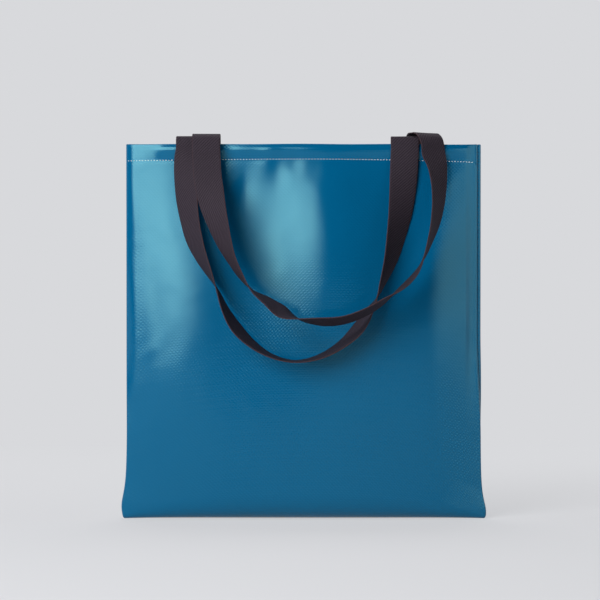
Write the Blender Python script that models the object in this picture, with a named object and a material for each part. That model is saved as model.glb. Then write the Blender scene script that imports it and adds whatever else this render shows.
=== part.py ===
# Tote bag cut from one sheet of truck tarpaulin, with two webbing handles that hang over its front.
# Metres, +Z up. The front faces -Y, and the origin is on the floor below the middle of the bag.

import math

import bmesh
import bpy
import numpy as np
from mathutils import Vector

# Tarpaulin sheet
SHEET = 0.0007              # thickness of the coated cloth
LAYER_GAP = 0.0003          # air between two layers that lie on each other
BAG_HEIGHT = 0.400
SEAM_HALF_WIDTH = 0.190     # from the middle of the bag to a side seam
HEM_DEPTH = 0.020
HEM_STITCH_DROP = 0.017     # from the rim down to the row of stitches
SEAM_ALLOWANCE = 0.010
SEAM_FOLD_RADIUS = 0.002    # outer radius of the sheet where it turns in at a side seam

# How far each panel stands out from the plane of the side seams
MOUTH_BULGE = 0.013
BELLY_BULGE = 0.026
BASE_BULGE = 0.024
BELLY_HEIGHT = 0.190
BULGE_POWER = 2.4           # higher is flatter in the middle and rounder at the seams
BASE_RADIUS = 0.012         # between a panel and the flat base
CORNER_FLARE = 0.006        # the bottom corners stand out sideways
CORNER_FLARE_HEIGHT = 0.035

# The side seams are turned round the edge of the bag, the right one to the front
SEAM_TURN_LENGTH = 0.016
RIGHT_SEAM_TURN = 50.0
LEFT_SEAM_TURN = -30.0
SEAM_TURN_LOW = 0.085       # below this height a seam lies on the edge itself
SEAM_TURN_HIGH = 0.200

# Webbing handles
WEBBING_WIDTH = 0.030
WEBBING = 0.0013
HANDLE_SPACING = 0.2286     # between the middles of a handle's two ends
FRONT_HANDLE_MIDDLE = -0.0066
BACK_HANDLE_MIDDLE = 0.0099 # sewn a little further to the right than the front one
FRONT_HANDLE_DROP = 0.229   # below the rim
BACK_HANDLE_DROP = 0.186
SEWN_LENGTH = 0.020         # length of a handle's end that lies on the hem
SEWN_GAP = 0.0005           # between the webbing and the curved hem
ROUTE_WEBBING = 0.030       # webbing width that the stand-offs of the routes are given for
ROUTE_STEP = 0.007

# Sewing thread
THREAD_RADIUS = 0.00025
THREAD_GAP = 0.0004
SEAM_THREAD_END = 0.006     # clear of the rim and of the bottom corner
TACK_WIDTH = 0.022
TACK_HEIGHT = 0.013

PANEL_COLUMNS = 18
FOLD_STEPS = 4
ALLOWANCE_STEPS = 1
PANEL_ROWS = 13
HEM_ROWS = 2
RIM_STEPS = 4
BASE_ARC_STEPS = 4
BASE_FLAT_STEPS = 2

RIM_RADIUS = SHEET + LAYER_GAP / 2
HEM_INSET = 2 * RIM_RADIUS
SEAM_EDGE = LAYER_GAP / 2 + 2 * SEAM_FOLD_RADIUS
FRONT = -1
BACK = 1

# Front stretch of each handle, from its left end to its right end. Each point gives its place across
# (-1 and 1 are the handle's ends), its drop as a share of the whole drop, how far it stands off the
# front panel in millimetres, and how far the webbing is turned about its own length in degrees.
FRONT_HANDLE_ROUTE = (
    (-1.005, 0.012, 5.0, 2),
    (-1.023, 0.060, 7.0, 12),
    (-1.034, 0.138, 9.5, 25),
    (-1.030, 0.248, 11.5, 38),
    (-1.005, 0.340, 13.5, 46),
    (-0.960, 0.435, 15.0, 52),
    (-0.889, 0.523, 16.0, 64),
    (-0.814, 0.597, 17.0, 77),
    (-0.750, 0.662, 17.5, 90),
    (-0.664, 0.766, 18.0, 103),
    (-0.575, 0.840, 18.0, 110),
    (-0.410, 0.924, 18.0, 103),
    (-0.240, 0.975, 18.0, 95),
    (-0.025, 1.000, 18.0, 91),
    (0.188, 0.981, 18.0, 96),
    (0.383, 0.930, 18.0, 103),
    (0.583, 0.833, 18.0, 112),
    (0.652, 0.777, 18.0, 105),
    (0.722, 0.718, 18.0, 91),
    (0.785, 0.639, 17.5, 77),
    (0.867, 0.521, 16.0, 59),
    (0.912, 0.424, 14.0, 47),
    (0.957, 0.300, 11.0, 30),
    (0.980, 0.193, 8.0, 16),
    (0.993, 0.091, 6.0, 5),
    (1.000, 0.012, 5.0, 1),
)
BACK_HANDLE_ROUTE = (
    (-0.997, 0.012, 9.5, 0),
    (-0.990, 0.085, 15.0, 1),
    (-0.979, 0.177, 21.5, 4),
    (-0.957, 0.257, 26.0, 10),
    (-0.935, 0.325, 29.0, 20),
    (-0.884, 0.435, 33.0, 39),
    (-0.818, 0.554, 36.0, 56),
    (-0.756, 0.642, 38.0, 69),
    (-0.652, 0.753, 41.0, 80),
    (-0.565, 0.820, 43.0, 91),
    (-0.418, 0.885, 45.0, 106),
    (-0.289, 0.944, 46.0, 114),
    (-0.151, 0.982, 46.0, 90),
    (0.038, 0.999, 47.0, 74),
    (0.277, 0.991, 48.0, 72),
    (0.488, 0.943, 49.0, 74),
    (0.650, 0.884, 49.0, 79),
    (0.806, 0.815, 47.0, 95),
    (0.928, 0.738, 45.0, 96),
    (1.027, 0.626, 41.0, 84),
    (1.079, 0.539, 38.0, 77),
    (1.129, 0.435, 34.0, 68),
    (1.156, 0.337, 30.0, 62),
    (1.164, 0.217, 24.0, 54),
    (1.150, 0.119, 18.0, 44),
    (1.119, 0.040, 12.5, 32),
)

# Way of each handle's end over the rim, from the sewn leg outward. Each point gives how far it lies
# across the mouth (0 is the leg, 1 is where the front stretch begins), its height above the rim in
# millimetres, how far the webbing has tipped over from upright to hanging in degrees, and how much of
# its sideways way to the front stretch is done.
FRONT_HANDLE_RISE = (
    (0.00, 1.0, 0, 0.00),
    (0.00, 5.5, 8, 0.00),
    (0.14, 8.4, 45, 0.14),
    (0.50, 9.6, 90, 0.50),
    (0.86, 8.4, 135, 0.86),
    (1.00, 5.5, 172, 1.00),
)
BACK_HANDLE_LEFT_RISE = (
    (0.00, 1.0, 0, 0.00),
    (0.01, 5.0, 12, 0.01),
    (0.08, 9.0, 45, 0.08),
    (0.24, 11.6, 75, 0.24),
    (0.50, 12.1, 92, 0.50),
    (0.76, 11.6, 105, 0.76),
    (0.93, 8.8, 140, 0.93),
    (1.00, 4.0, 172, 1.00),
)
BACK_HANDLE_RIGHT_RISE = (
    (0.00, 1.0, 0, 0.00),
    (0.01, 5.0, 12, 0.02),
    (0.08, 9.4, 45, 0.07),
    (0.24, 12.4, 75, 0.16),
    (0.50, 13.2, 92, 0.33),
    (0.76, 12.4, 108, 0.54),
    (0.93, 9.2, 140, 0.74),
    (1.00, 4.0, 168, 0.90),
)


def clear_scene():
    for old in list(bpy.data.objects):
        bpy.data.objects.remove(old, do_unlink=True)


def make_material(name, colour, roughness, coat=0.0):
    material = bpy.data.materials.new(name)
    material.use_nodes = True
    shader = material.node_tree.nodes["Principled BSDF"]
    shader.inputs["Base Color"].default_value = (*colour, 1.0)
    shader.inputs["Roughness"].default_value = roughness
    shader.inputs["Metallic"].default_value = 0.0
    shader.inputs["Coat Weight"].default_value = coat
    material.diffuse_color = (*colour, 1.0)
    return material


def link_object(name, data, material):
    data.materials.append(material)
    piece = bpy.data.objects.new(name, data)
    bpy.context.scene.collection.objects.link(piece)
    return piece


def add_thickness(piece, thickness, offset):
    solidify = piece.modifiers.new("thickness", "SOLIDIFY")
    solidify.thickness = thickness
    solidify.offset = offset
    solidify.use_even_offset = True
    solidify.use_quality_normals = True


def ease(share):
    share = min(1.0, max(0.0, share))
    return share * share * (3 - 2 * share)


def bulge(z):
    if z > BELLY_HEIGHT:
        share = ease((z - BELLY_HEIGHT) / (BAG_HEIGHT - BELLY_HEIGHT))
        return BELLY_BULGE + (MOUTH_BULGE - BELLY_BULGE) * share
    return BASE_BULGE + (BELLY_BULGE - BASE_BULGE) * ease(z / BELLY_HEIGHT)


def seam_x(z):
    flare = CORNER_FLARE * math.exp(-((z / CORNER_FLARE_HEIGHT) ** 2))
    return SEAM_HALF_WIDTH + flare - SEAM_FOLD_RADIUS


def panel_depth(x, z):
    # Distance of a panel's outer face from the plane of the seams
    across = min(1.0, abs(x) / seam_x(z))
    return SEAM_EDGE + bulge(z) * (1 - across ** BULGE_POWER)


def panel_slope(x, z):
    across = min(1.0, abs(x) / seam_x(z))
    slope = -bulge(z) * BULGE_POWER * across ** (BULGE_POWER - 1) / seam_x(z)
    return math.copysign(slope, -x) if x > 0 else -slope


def turn_side(x, y, z):
    # Rolls the last stretch before a side seam round the edge of the bag
    full_turn = RIGHT_SEAM_TURN if x > 0 else LEFT_SEAM_TURN
    rise = ease((z - SEAM_TURN_LOW) / (SEAM_TURN_HIGH - SEAM_TURN_LOW))
    turn = math.radians(full_turn) * rise
    start = seam_x(z) + SEAM_FOLD_RADIUS - SEAM_TURN_LENGTH
    beyond = abs(x) - start
    if beyond <= 0 or abs(turn) < 1e-4:
        return x, y
    radius = SEAM_TURN_LENGTH / turn
    angle = beyond / radius
    new_x = start + (radius + y) * math.sin(angle)
    new_y = -radius + (radius + y) * math.cos(angle)
    return math.copysign(new_x, x), new_y


def sheet_columns():
    # From the raw edge at the left to the raw edge at the right
    allowance = [("allowance", SEAM_ALLOWANCE * i / ALLOWANCE_STEPS) for i in range(ALLOWANCE_STEPS, 0, -1)]
    fold = [("fold", math.pi * i / FOLD_STEPS) for i in range(FOLD_STEPS, 0, -1)]
    half = allowance + fold
    left = [(kind, value, -1) for kind, value in half]
    right = [(kind, value, 1) for kind, value in reversed(half)]
    panel = [("panel", 2 * i / PANEL_COLUMNS - 1, 1) for i in range(PANEL_COLUMNS + 1)]
    return left + panel + right


def column_point(column, z, inset=0.0):
    # Place across and distance from the seam plane of the sheet's outer face
    kind, value, side = column
    edge = seam_x(z)
    if kind == "panel":
        x = edge * value
        slope = panel_slope(x, z)
        length = math.hypot(1.0, slope)
        return x + inset * slope / length, panel_depth(x, z) - inset / length
    if kind == "fold":
        radius = SEAM_FOLD_RADIUS - inset
        centre = LAYER_GAP / 2 + SEAM_FOLD_RADIUS
        return side * (edge + radius * math.sin(value)), centre + radius * math.cos(value)
    return side * (edge - value), LAYER_GAP / 2 + inset


def column_floor(column):
    kind, value, _ = column
    if kind == "panel":
        return 0.0
    if kind == "fold":
        return SEAM_FOLD_RADIUS * (1 - math.cos(value))
    return 2 * SEAM_FOLD_RADIUS


def half_sheet_rows(column):
    # Points down one panel, from the hem's raw edge to the middle of the base
    points = []
    rim_centre = BAG_HEIGHT - RIM_RADIUS
    for i in range(HEM_ROWS):
        z = BAG_HEIGHT - HEM_DEPTH + (rim_centre - BAG_HEIGHT + HEM_DEPTH) * i / HEM_ROWS
        points.append((*column_point(column, z, HEM_INSET), z))
    for i in range(RIM_STEPS, -1, -1):
        angle = math.pi * i / RIM_STEPS
        inset = RIM_RADIUS * (1 - math.cos(angle))
        z = rim_centre + RIM_RADIUS * math.sin(angle)
        points.append((*column_point(column, rim_centre, inset), z))
    floor = column_floor(column)
    middle_depth = panel_depth(0.0, BASE_RADIUS)
    depth = column_point(column, BASE_RADIUS)[1]
    radius = BASE_RADIUS * max(depth / middle_depth, SHEET / BASE_RADIUS)
    lowest = floor + radius
    for i in range(1, PANEL_ROWS):
        z = rim_centre + (lowest - rim_centre) * i / PANEL_ROWS
        points.append((*column_point(column, z), z))
    x, depth = column_point(column, lowest)
    flat_share = 1 - BASE_RADIUS / middle_depth
    for i in range(BASE_ARC_STEPS + 1):
        angle = math.pi / 2 * i / BASE_ARC_STEPS
        share = flat_share + (1 - flat_share) * math.cos(angle)
        points.append((x, depth * share, floor + radius * (1 - math.sin(angle))))
    for i in range(1, BASE_FLAT_STEPS + 1):
        share = flat_share * (1 - i / BASE_FLAT_STEPS)
        points.append((x, depth * share, floor))
    return points


def build_body(material):
    columns = sheet_columns()
    grid = []
    for column in columns:
        half = half_sheet_rows(column)
        front = [(x, FRONT * depth, z) for x, depth, z in half]
        back = [(x, BACK * depth, z) for x, depth, z in reversed(half[:-1])]
        grid.append([(*turn_side(x, y, z), z) for x, y, z in front + back])
    mesh = bpy.data.meshes.new("bag_body")
    shell = bmesh.new()
    vertices = [[shell.verts.new(point) for point in line] for line in grid]
    for left, right in zip(vertices, vertices[1:]):
        for row in range(len(left) - 1):
            shell.faces.new((left[row], left[row + 1], right[row + 1], right[row]))
    shell.to_mesh(mesh)
    shell.free()
    body = link_object("bag_body", mesh, material)
    add_thickness(body, SHEET, -1.0)
    mesh.shade_smooth()
    mesh.set_sharp_from_angle(angle=math.radians(35))
    return body


def smooth_route(stations, step):
    # Passes a smooth curve through the stations and reads it at even steps
    table = np.array(stations, dtype=float)
    lengths = np.linalg.norm(np.diff(table[:, :3], axis=0), axis=1)
    along = np.concatenate(([0.0], np.cumsum(lengths)))
    tangents = np.gradient(table, along, axis=0)
    count = max(2, round(along[-1] / step))
    result = []
    for place in np.linspace(0.0, along[-1], count + 1):
        i = min(len(along) - 2, int(np.searchsorted(along, place, side="right")) - 1)
        span = along[i + 1] - along[i]
        t = (place - along[i]) / span
        start = (1 + 2 * t) * (1 - t) ** 2
        end = t * t * (3 - 2 * t)
        start_pull = t * (1 - t) ** 2 * span
        end_pull = t * t * (t - 1) * span
        result.append(
            start * table[i] + end * table[i + 1] + start_pull * tangents[i] + end_pull * tangents[i + 1]
        )
    return result


def leg_point(middle_x, side):
    # Middle of the webbing where it lies on the inner layer of the hem
    depth = panel_depth(middle_x, BAG_HEIGHT)
    inside = depth - HEM_INSET - SEWN_GAP - WEBBING / 2
    yaw = math.atan(panel_slope(middle_x, BAG_HEIGHT)) * side
    return side * inside, yaw


def handle_end(middle_x, side, rise, first_front):
    # Stations from the sewn end over the rim: place, tip over, turn and yaw
    leg_y, leg_yaw = leg_point(middle_x, side)
    front_x, front_y = first_front[:2]
    front_turn = first_front[4]
    stations = [(middle_x, leg_y, BAG_HEIGHT - SEWN_LENGTH, 0.0, 0.0, leg_yaw)]
    stations.append((middle_x, leg_y, BAG_HEIGHT - SEWN_LENGTH / 2, 0.0, 0.0, leg_yaw))
    for across, height, tip, sideways in rise:
        y = leg_y + (front_y - leg_y) * across
        x = middle_x + (front_x - middle_x) * sideways
        yaw = leg_yaw * (1 - across)
        turn = front_turn * across ** 4
        stations.append((x, y, BAG_HEIGHT + height / 1000, math.radians(tip), turn, yaw))
    return stations


def handle_stations(middle_x, side, drop, route, left_rise, right_rise):
    front = []
    for across, down, stand_off, turn in route:
        x = middle_x + HANDLE_SPACING / 2 * across
        z = BAG_HEIGHT - drop * down
        y = -panel_depth(x, z) - stand_off / 1000 * WEBBING_WIDTH / ROUTE_WEBBING
        front.append((x, y, z, math.pi, math.radians(turn), 0.0))
    left = handle_end(middle_x - HANDLE_SPACING / 2, side, left_rise, front[0])
    right = handle_end(middle_x + HANDLE_SPACING / 2, side, right_rise, front[-1])
    return left + front + right[::-1]


def build_handle(name, middle_x, side, drop, route, left_rise, right_rise, material):
    samples = smooth_route(handle_stations(middle_x, side, drop, route, left_rise, right_rise), ROUTE_STEP)
    places = [Vector(sample[:3]) for sample in samples]
    mesh = bpy.data.meshes.new(name)
    strip = bmesh.new()
    edges = []
    for i, sample in enumerate(samples):
        before = places[max(0, i - 1)]
        after = places[min(len(places) - 1, i + 1)]
        along = (after - before).normalized()
        tip, turn, yaw = sample[3:6]
        upper = Vector((-math.sin(yaw) * math.cos(tip), math.cos(yaw) * math.cos(tip), math.sin(tip)))
        inward = along.cross(-upper).normalized()
        outward = along.cross(inward)
        width = math.cos(turn) * inward + math.sin(turn) * outward
        half = width * WEBBING_WIDTH / 2
        edges.append((strip.verts.new(places[i] - half), strip.verts.new(places[i] + half)))
    for start, end in zip(edges, edges[1:]):
        strip.faces.new((start[0], start[1], end[1], end[0]))
    strip.to_mesh(mesh)
    strip.free()
    handle = link_object(name, mesh, material)
    add_thickness(handle, WEBBING, 0.0)
    mesh.shade_smooth()
    mesh.set_sharp_from_angle(angle=math.radians(35))
    return handle


def build_thread(name, points, material, closed=False):
    curve = bpy.data.curves.new(name, "CURVE")
    curve.dimensions = "3D"
    curve.bevel_depth = THREAD_RADIUS
    curve.bevel_resolution = 1
    curve.use_fill_caps = True
    spline = curve.splines.new("POLY")
    spline.points.add(len(points) - 1)
    for target, point in zip(spline.points, points):
        target.co = (*point, 1.0)
    spline.use_cyclic_u = closed
    return link_object(name, curve, material)


def hem_thread_points(side):
    # A row of stitches just off the outer face, over the same columns as the sheet
    z = BAG_HEIGHT - HEM_STITCH_DROP
    clear = THREAD_GAP + THREAD_RADIUS
    points = []
    for column in sheet_columns():
        if column[0] == "panel":
            x, depth = column_point(column, z, -clear)
            points.append((*turn_side(x, side * depth, z), z))
    return points


def seam_thread_points(side):
    # The seam's stitches lie at the bottom of the groove between the two folds
    reach = SEAM_FOLD_RADIUS + THREAD_GAP + THREAD_RADIUS
    offset = LAYER_GAP / 2 + SEAM_FOLD_RADIUS
    beyond = math.sqrt(reach ** 2 - offset ** 2)
    top = BAG_HEIGHT - SEAM_THREAD_END
    points = []
    steps = 2 * PANEL_ROWS
    for i in range(steps + 1):
        z = top + (SEAM_THREAD_END - top) * i / steps
        x = side * (seam_x(z) + beyond)
        points.append((*turn_side(x, 0.0, z), z))
    return points


def tack_points(middle_x, side):
    # A box of stitches on the face of the webbing that looks into the bag
    leg_y, yaw = leg_point(middle_x, side)
    clear = WEBBING / 2 + THREAD_GAP + THREAD_RADIUS
    middle_z = BAG_HEIGHT - SEWN_LENGTH / 2
    corners = ((-1, -1), (1, -1), (1, 1), (-1, 1))
    points = []
    for across, up in corners:
        reach = across * TACK_WIDTH / 2
        x = middle_x + reach * math.cos(yaw) + side * clear * math.sin(yaw)
        y = leg_y + reach * math.sin(yaw) - side * clear * math.cos(yaw)
        points.append((x, y, middle_z + up * TACK_HEIGHT / 2))
    return points


def main():
    clear_scene()
    tarpaulin = make_material("gloss_pvc_tarpaulin", (0.006, 0.133, 0.258), 0.28, 0.5)
    webbing = make_material("charcoal_webbing", (0.032, 0.026, 0.033), 0.85)
    grey_thread = make_material("pale_grey_thread", (0.55, 0.62, 0.66), 0.6)
    teal_thread = make_material("teal_thread", (0.01, 0.14, 0.25), 0.6)
    black_thread = make_material("black_thread", (0.02, 0.02, 0.022), 0.6)

    build_body(tarpaulin)
    build_handle(
        "front_handle", FRONT_HANDLE_MIDDLE, FRONT, FRONT_HANDLE_DROP, FRONT_HANDLE_ROUTE,
        FRONT_HANDLE_RISE, FRONT_HANDLE_RISE, webbing,
    )
    build_handle(
        "back_handle", BACK_HANDLE_MIDDLE, BACK, BACK_HANDLE_DROP, BACK_HANDLE_ROUTE,
        BACK_HANDLE_LEFT_RISE, BACK_HANDLE_RIGHT_RISE, webbing,
    )
    build_thread("front_hem_thread", hem_thread_points(FRONT), grey_thread)
    build_thread("back_hem_thread", hem_thread_points(BACK), grey_thread)
    build_thread("left_seam_thread", seam_thread_points(-1), teal_thread)
    build_thread("right_seam_thread", seam_thread_points(1), teal_thread)
    for handle, middle, side in (("front", FRONT_HANDLE_MIDDLE, FRONT), ("back", BACK_HANDLE_MIDDLE, BACK)):
        for end, place in (("left", -1), ("right", 1)):
            x = middle + place * HANDLE_SPACING / 2
            build_thread(f"{handle}_handle_{end}_tack", tack_points(x, side), black_thread, closed=True)


main()
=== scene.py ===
import math

import bpy
import numpy as np
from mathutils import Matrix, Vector


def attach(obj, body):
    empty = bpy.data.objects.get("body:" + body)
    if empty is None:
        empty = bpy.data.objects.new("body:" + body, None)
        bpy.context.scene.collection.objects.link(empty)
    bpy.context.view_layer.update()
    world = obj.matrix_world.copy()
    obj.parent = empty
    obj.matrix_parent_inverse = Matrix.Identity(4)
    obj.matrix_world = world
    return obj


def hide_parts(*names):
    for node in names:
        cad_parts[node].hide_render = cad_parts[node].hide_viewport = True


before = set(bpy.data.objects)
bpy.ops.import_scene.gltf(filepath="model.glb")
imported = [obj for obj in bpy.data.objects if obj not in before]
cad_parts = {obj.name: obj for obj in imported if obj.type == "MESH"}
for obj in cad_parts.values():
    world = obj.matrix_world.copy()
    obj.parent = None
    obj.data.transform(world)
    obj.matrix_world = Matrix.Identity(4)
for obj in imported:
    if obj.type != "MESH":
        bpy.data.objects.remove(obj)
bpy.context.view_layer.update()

print("frame loaded:", len(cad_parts), "nodes")

# Metres, +Z up, the front of the bag faces -Y. Sizes marked Mm are in millimetres.
mm = 0.001


def hexColour(text):
    channels = [int(text[i:i + 2], 16) / 255 for i in (0, 2, 4)]
    linear = [c / 12.92 if c <= 0.04045 else ((c + 0.055) / 1.055) ** 2.4 for c in channels]
    return (*linear, 1.0)


def addNode(tree, kind, settings=None, links=None):
    node = tree.nodes.new(kind)
    for name, value in (settings or {}).items():
        if isinstance(name, str) and hasattr(node, name):
            setattr(node, name, value)
        else:
            node.inputs[name].default_value = value
    for name, source in (links or {}).items():
        tree.links.new(source, node.inputs[name])
    return node


def newMaterial(name):
    material = bpy.data.materials.new(name)
    material.use_nodes = True
    tree = material.node_tree
    return material, tree, tree.nodes["Principled BSDF"]


def ease(share):
    share = np.clip(share, 0.0, 1.0)
    return share * share * (3 - 2 * share)


def lengthAlong(points):
    # Distance of each point from the first, along the line through them
    steps = np.linalg.norm(np.diff(points, axis=0), axis=1)
    return np.concatenate([[0.0], np.cumsum(steps)])


# The camera stands far back, level with the middle of the bag
viewPoint = {
    "lookAt": (-0.0041, 0.0, 0.2348),
    "distance": 3.0,
    "elevation": 1.5,
    "widthSeen": 0.6446,         # across the picture, in the plane of the side seams
    "sensorWidth": 36.0,
    "nearest": 0.1,
    "farthest": 60.0,
}


def makeCamera():
    rise = math.radians(viewPoint["elevation"])
    away = Vector((0.0, -math.cos(rise), math.sin(rise))) * viewPoint["distance"]
    data = bpy.data.cameras.new("photoCamera")
    data.sensor_width = viewPoint["sensorWidth"]
    data.lens = viewPoint["sensorWidth"] * viewPoint["distance"] / viewPoint["widthSeen"]
    data.clip_start = viewPoint["nearest"]
    data.clip_end = viewPoint["farthest"]
    camera = bpy.data.objects.new("photoCamera", data)
    bpy.context.scene.collection.objects.link(camera)
    camera.location = Vector(viewPoint["lookAt"]) + away
    camera.rotation_euler = (math.radians(90) - rise, 0.0, 0.0)
    bpy.context.scene.camera = camera


makeCamera()
print("camera placed")

# Shape of the bag, the same in all pieces that touch it
bag = {
    "sheet": 0.7 * mm,
    "layerGap": 0.3 * mm,        # between two layers that lie on each other
    "height": 400 * mm,
    "seamHalfWidth": 190 * mm,
    "foldRadius": 2 * mm,        # of the folds at the side seams
    "allowance": 10 * mm,
    "hemDepth": 20 * mm,
    "stitchDrop": 17 * mm,
    "mouthBulge": 13 * mm,
    "bellyBulge": 26 * mm,
    "baseBulge": 20.5 * mm,
    "bellyHeight": 190 * mm,
    "bulgePower": 2.4,
    "fadePower": 12,             # waves and the hem's roll fade out just before the side seams
    "baseRound": 34 * mm,        # height over which a panel curves under
    "leastRound": 0.02,          # share of it that is left at the side seams
    "roundPower": 0.78,
    "baseFlat": 7 * mm,          # half depth of the strip that is nearly flat
    "baseLift": 1.2 * mm,        # the middle of the bottom fold stands clear of the floor
    "liftPower": 6,
    "turnLength": 16 * mm,       # width of the strip beside a seam that turns
    "rightTurn": 62.0,
    "leftTurn": -30.0,
    "leastTurn": 1e-4,
    "seamBack": 5.5 * mm,
    "seamBackReach": 1.2,        # in widths of the strip that turns
    "turnLow": 85 * mm,          # the turn grows between these heights
    "turnHigh": 200 * mm,
}
bag["rimRadius"] = bag["sheet"] + bag["layerGap"] / 2
bag["hemInset"] = 2 * bag["rimRadius"]
bag["seamEdge"] = bag["layerGap"] / 2 + 2 * bag["foldRadius"]

# Bottom corners stand out sideways: how far, at what height, and over what height (mm)
cornerFlare = {-1: (6.2, 13.0, 20.0), 1: (6.2, 7.0, 16.7)}

# Soft waves of the two panels in millimetres: place across, height, half width, half height,
# turn in degrees, and how far the cloth stands out
frontWaves = (
    (-190, 305, 10, 50, 15, -2),     # drawn in along the left seam
    (-170, 245, 6, 55, 5, 1.5),      # ridge beside it
    (-70, 235, 38, 110, 5, -3),      # hollow below the left handles
    (-50, 300, 26, 100, 18, -2),
    (-60, 195, 48, 50, 0, -2.4),
    (30, 325, 30, 65, 8, 6.5),       # swell in the middle that shines
    (70, 290, 45, 80, 10, 2),
    (-155, 138, 22, 40, -10, 1.5),   # swell above the bottom left corner
    (142, 270, 28, 130, 0, 4),       # swell below the right handles
    (-85, 388, 8, 16, 0, -0.8),      # tucks below the hem
    (-64, 357, 7, 14, 0, -0.7),
    (-38, 390, 6, 10, -20, 0.8),
    (-28, 370, 6, 11, 0, -0.5),
    (-10, 381, 6, 8, 0, -0.5),
    (12, 378, 7, 11, 0, -0.4),
)
backWaves = (
    (-60, 250, 70, 90, 20, 1.2),
    (80, 180, 60, 110, -15, -1.0),
    (20, 330, 50, 50, 0, 0.8),
)


def bulgeAt(z):
    upper = bag["bellyBulge"] + (bag["mouthBulge"] - bag["bellyBulge"]) * ease(
        (z - bag["bellyHeight"]) / (bag["height"] - bag["bellyHeight"]))
    lower = bag["baseBulge"] + (bag["bellyBulge"] - bag["baseBulge"]) * ease(z / bag["bellyHeight"])
    return np.where(z > bag["bellyHeight"], upper, lower)


def flareAt(z, side):
    size, middle, spread = cornerFlare[side]
    return size * mm / (1 + ((z / mm - middle) / spread) ** 2)


def edgeAt(x, z):
    flare = np.where(x < 0, flareAt(z, -1), flareAt(z, 1))
    return bag["seamHalfWidth"] + flare - bag["foldRadius"]


def wavesAt(x, z, side):
    total = np.zeros(np.broadcast(x, z).shape)
    for acrossMm, heightMm, wideMm, tallMm, turn, outMm in (frontWaves if side < 0 else backWaves):
        angle = math.radians(turn)
        dx = x / mm - acrossMm
        dz = z / mm - heightMm
        along = (dx * math.cos(angle) + dz * math.sin(angle)) / wideMm
        up = (-dx * math.sin(angle) + dz * math.cos(angle)) / tallMm
        total = total + outMm * mm * np.exp(-0.5 * (along ** 2 + up ** 2))
    across = np.clip(np.abs(x) / edgeAt(x, z), 0, 1)
    return total * (1 - across ** bag["fadePower"])


# The hem and its stitches, in millimetres
hem = {
    "spring": 1.7,               # how far the fold stands out above its stitches
    "leftTight": 1.4,            # less so near the left seam
    "leftTightFrom": -150,
    "leftTightOver": 14,
    "handleTight": 0.35,         # and beside the left handles
    "handleTightAt": -78,
    "handleTightWide": 9,
    "openOver": 4.8,             # below the rim it opens over this height, then closes again
    "closeOver": 11.2,
    "grooveDeep": 0.16,          # where the stitches pull the layers together
    "grooveDown": 16.2,
    "grooveWide": 1.6,
    "rimLift": 1.85,             # the rim stands this much over the plain height
    "rimSlant": 0.25,            # more on the left
    "rimWave": 0.2,
    "rimWaveLength": 17,
    "rimWaveStart": 2.0,
    "rimLiftOver": 14,
    "stitchLift": 2.4,           # and the row of stitches this much over its own
    "stitchSag": 1.4,            # towards both seams
    "stitchSagRight": 1.7,
}


def hemRoll(x, z):
    # The folded hem springs open above its stitches
    acrossMm = x / mm
    down = (bag["height"] - z) / mm
    leftTight = hem["leftTight"] * ease((hem["leftTightFrom"] - acrossMm) / hem["leftTightOver"])
    handleTight = hem["handleTight"] * np.exp(
        -((acrossMm - hem["handleTightAt"]) / hem["handleTightWide"]) ** 2)
    spring = hem["spring"] - leftTight - handleTight
    roll = spring * ease(down / hem["openOver"]) * (1 - ease((down - hem["openOver"]) / hem["closeOver"]))
    groove = hem["grooveDeep"] * np.exp(-((down - hem["grooveDown"]) / hem["grooveWide"]) ** 2)
    return (roll - groove) * mm


def panelDepth(x, z, side):
    # Distance of a panel's outer face from the plane of the side seams
    across = np.clip(np.abs(x) / edgeAt(x, z), 0, 1)
    swell = 1 - across ** bag["bulgePower"]
    edgeFade = 1 - across ** bag["fadePower"]
    return bag["seamEdge"] + bulgeAt(z) * swell + wavesAt(x, z, side) + hemRoll(x, z) * edgeFade


def plainDepth(x, z):
    # The same without waves or hem, as in the frame, for what is sewn to the hem's inner layer
    across = min(1.0, abs(x) / float(edgeAt(np.array(x), np.array(z))))
    return bag["seamEdge"] + float(bulgeAt(np.array(z))) * (1 - across ** bag["bulgePower"])


def plainSlope(x, z):
    step = 0.1 * mm
    return (plainDepth(x + step, z) - plainDepth(x - step, z)) / (2 * step)


def turnSide(x, y, z):
    # Rolls the last stretch before a side seam round the edge of the bag
    rise = ease((z - bag["turnLow"]) / (bag["turnHigh"] - bag["turnLow"]))
    turn = np.radians(np.where(x > 0, bag["rightTurn"], bag["leftTurn"])) * rise
    start = edgeAt(x, z) + bag["foldRadius"] - bag["turnLength"]
    beyond = np.abs(x) - start
    moves = (beyond > 0) & (np.abs(turn) > bag["leastTurn"])
    turn = np.where(moves, turn, 1.0)
    radius = bag["turnLength"] / turn
    angle = beyond / radius
    newX = np.copysign(start + (radius + y) * np.sin(angle), x)
    newY = -radius + (radius + y) * np.cos(angle)
    # The seam on the right is pulled back, so that the panel bends towards it
    back = np.where(x > 0, bag["seamBack"], 0.0) * rise
    newY = newY + back * np.clip(beyond / bag["turnLength"], 0, bag["seamBackReach"]) ** 2
    return np.where(moves, newX, x), np.where(moves, newY, y)


def makeMesh(name, points, faces, material, uv=None):
    mesh = bpy.data.meshes.new(name)
    mesh.from_pydata([tuple(p) for p in points], [], [tuple(f) for f in faces])
    mesh.materials.append(material)
    if uv is not None:
        layer = mesh.uv_layers.new(name="clothMap")
        loops = np.empty(len(mesh.loops), dtype=np.int32)
        mesh.loops.foreach_get("vertex_index", loops)
        layer.uv.foreach_set("vector", np.asarray(uv, dtype=np.float32)[loops].ravel())
    mesh.shade_smooth()
    piece = bpy.data.objects.new(name, mesh)
    bpy.context.scene.collection.objects.link(piece)
    return piece


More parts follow.
